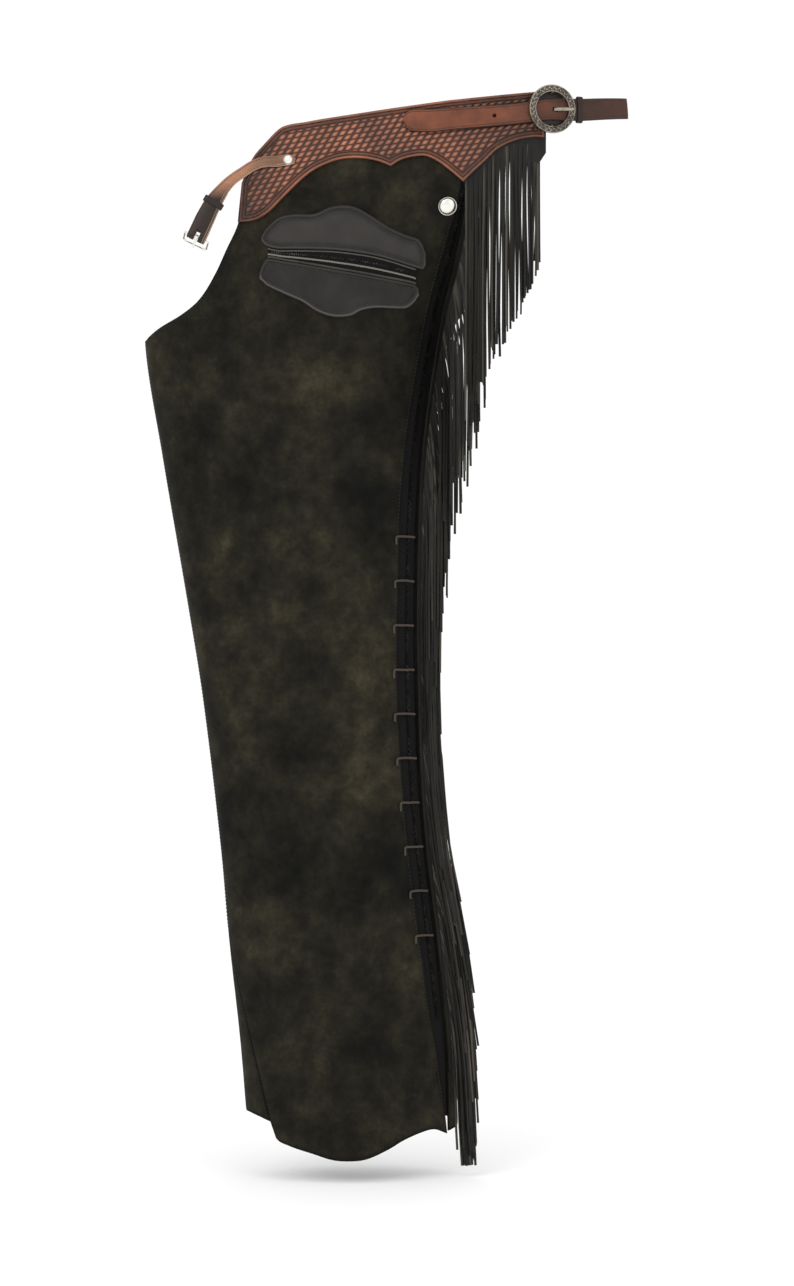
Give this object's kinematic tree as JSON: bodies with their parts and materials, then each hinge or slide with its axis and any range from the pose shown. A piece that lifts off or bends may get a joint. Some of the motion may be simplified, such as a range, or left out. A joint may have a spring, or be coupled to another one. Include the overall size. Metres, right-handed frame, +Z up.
{
  "type": "fringed leather chap leg with belt",
  "caption": "One leg of riding chaps: an open suede leg tube with a tooled yoke, belt and round buckle, zip pocket, side zip, concho, hanging front strap and long fringe.",
  "frame": {"origin": "at the waist on the leg's middle plane, where the wearer's waist holds the belt and yoke", "axes": "+X towards the wearer's outer side, +Y towards the back of the leg, +Z up"},
  "size_m": [0.4871, 0.1584, 1.0807],
  "materials": {
    "suede": "matte",
    "tooled_leather": "satin",
    "belt_leather": "satin",
    "strap_leather": "satin",
    "smooth_leather": "satin",
    "fringe_leather": "satin",
    "zip_tape": "matte",
    "silver": "polished",
    "antique_silver": "antique"
  },
  "bodies": {
    "leg": {"leg_front": "suede", "leg_back": "suede", "yoke": "tooled_leather", "pocket_upper": "smooth_leather", "pocket_lower": "smooth_leather", "pocket_welt": "zip_tape", "zip_tape": "zip_tape", "thong_01": "fringe_leather", "thong_02": "fringe_leather", "thong_03": "fringe_leather", "thong_04": "fringe_leather", "thong_05": "fringe_leather", "thong_06": "fringe_leather", "thong_07": "fringe_leather", "thong_08": "fringe_leather", "thong_09": "fringe_leather", "thong_10": "fringe_leather", "belt": "belt_leather", "belt_keeper": "belt_leather", "ring_chape": "belt_leather", "ring_buckle": "antique_silver", "ring_prong": "antique_silver", "front_strap": "strap_leather", "strap_keeper": "strap_leather", "rivet": "silver", "concho": "silver", "seam_fringe": "fringe_leather", "yoke_fringe": "fringe_leather"},
    "buckle_frame": {"front_buckle": "silver"},
    "buckle_prong": {"front_prong": "silver"}
  },
  "joints": [
    {"name": "buckle_swing", "type": "hinge", "parent": "leg", "child": "buckle_frame", "pos_m": [-0.19675, -0.0751, -0.10551], "axis": [0.9029, 0, -0.4299], "range_deg": [-140, 90]},
    {"name": "prong_swing", "type": "hinge", "parent": "buckle_frame", "child": "buckle_prong", "pos_m": [-0.19675, -0.0751, -0.10551], "axis": [0.9029, 0, -0.4299], "range_deg": [-50, 0]}
  ]
}
